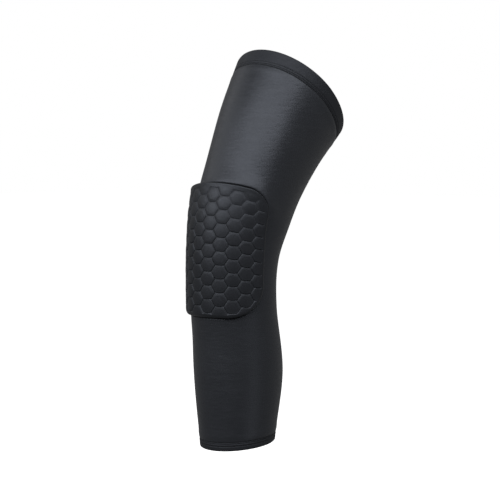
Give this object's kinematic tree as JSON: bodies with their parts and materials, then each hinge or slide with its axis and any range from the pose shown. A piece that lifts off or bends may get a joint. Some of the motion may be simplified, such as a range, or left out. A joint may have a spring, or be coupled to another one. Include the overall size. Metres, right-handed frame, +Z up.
{
  "type": "basketball knee pad",
  "caption": "Long black knit leg sleeve with turned hems at both mouths and a raised honeycomb foam pad over the kneecap, shaped as worn on a slightly bent knee.",
  "frame": {"origin": "centre of the knee, inside the sleeve behind the pad's middle", "axes": "+Z up the leg from calf to thigh, -Y forwards out of the pad, +X across the leg"},
  "size_m": [0.13, 0.2152, 0.4452],
  "materials": {
    "sleeve": "satin stretch knit",
    "hem": "turned stretch knit, twin stitched",
    "pad": "foam pressed under matte knit"
  },
  "bodies": {
    "root": {"sleeve": "sleeve", "thigh_band": "hem", "calf_band": "hem", "knee_pad": "pad"}
  },
  "joints": []
}
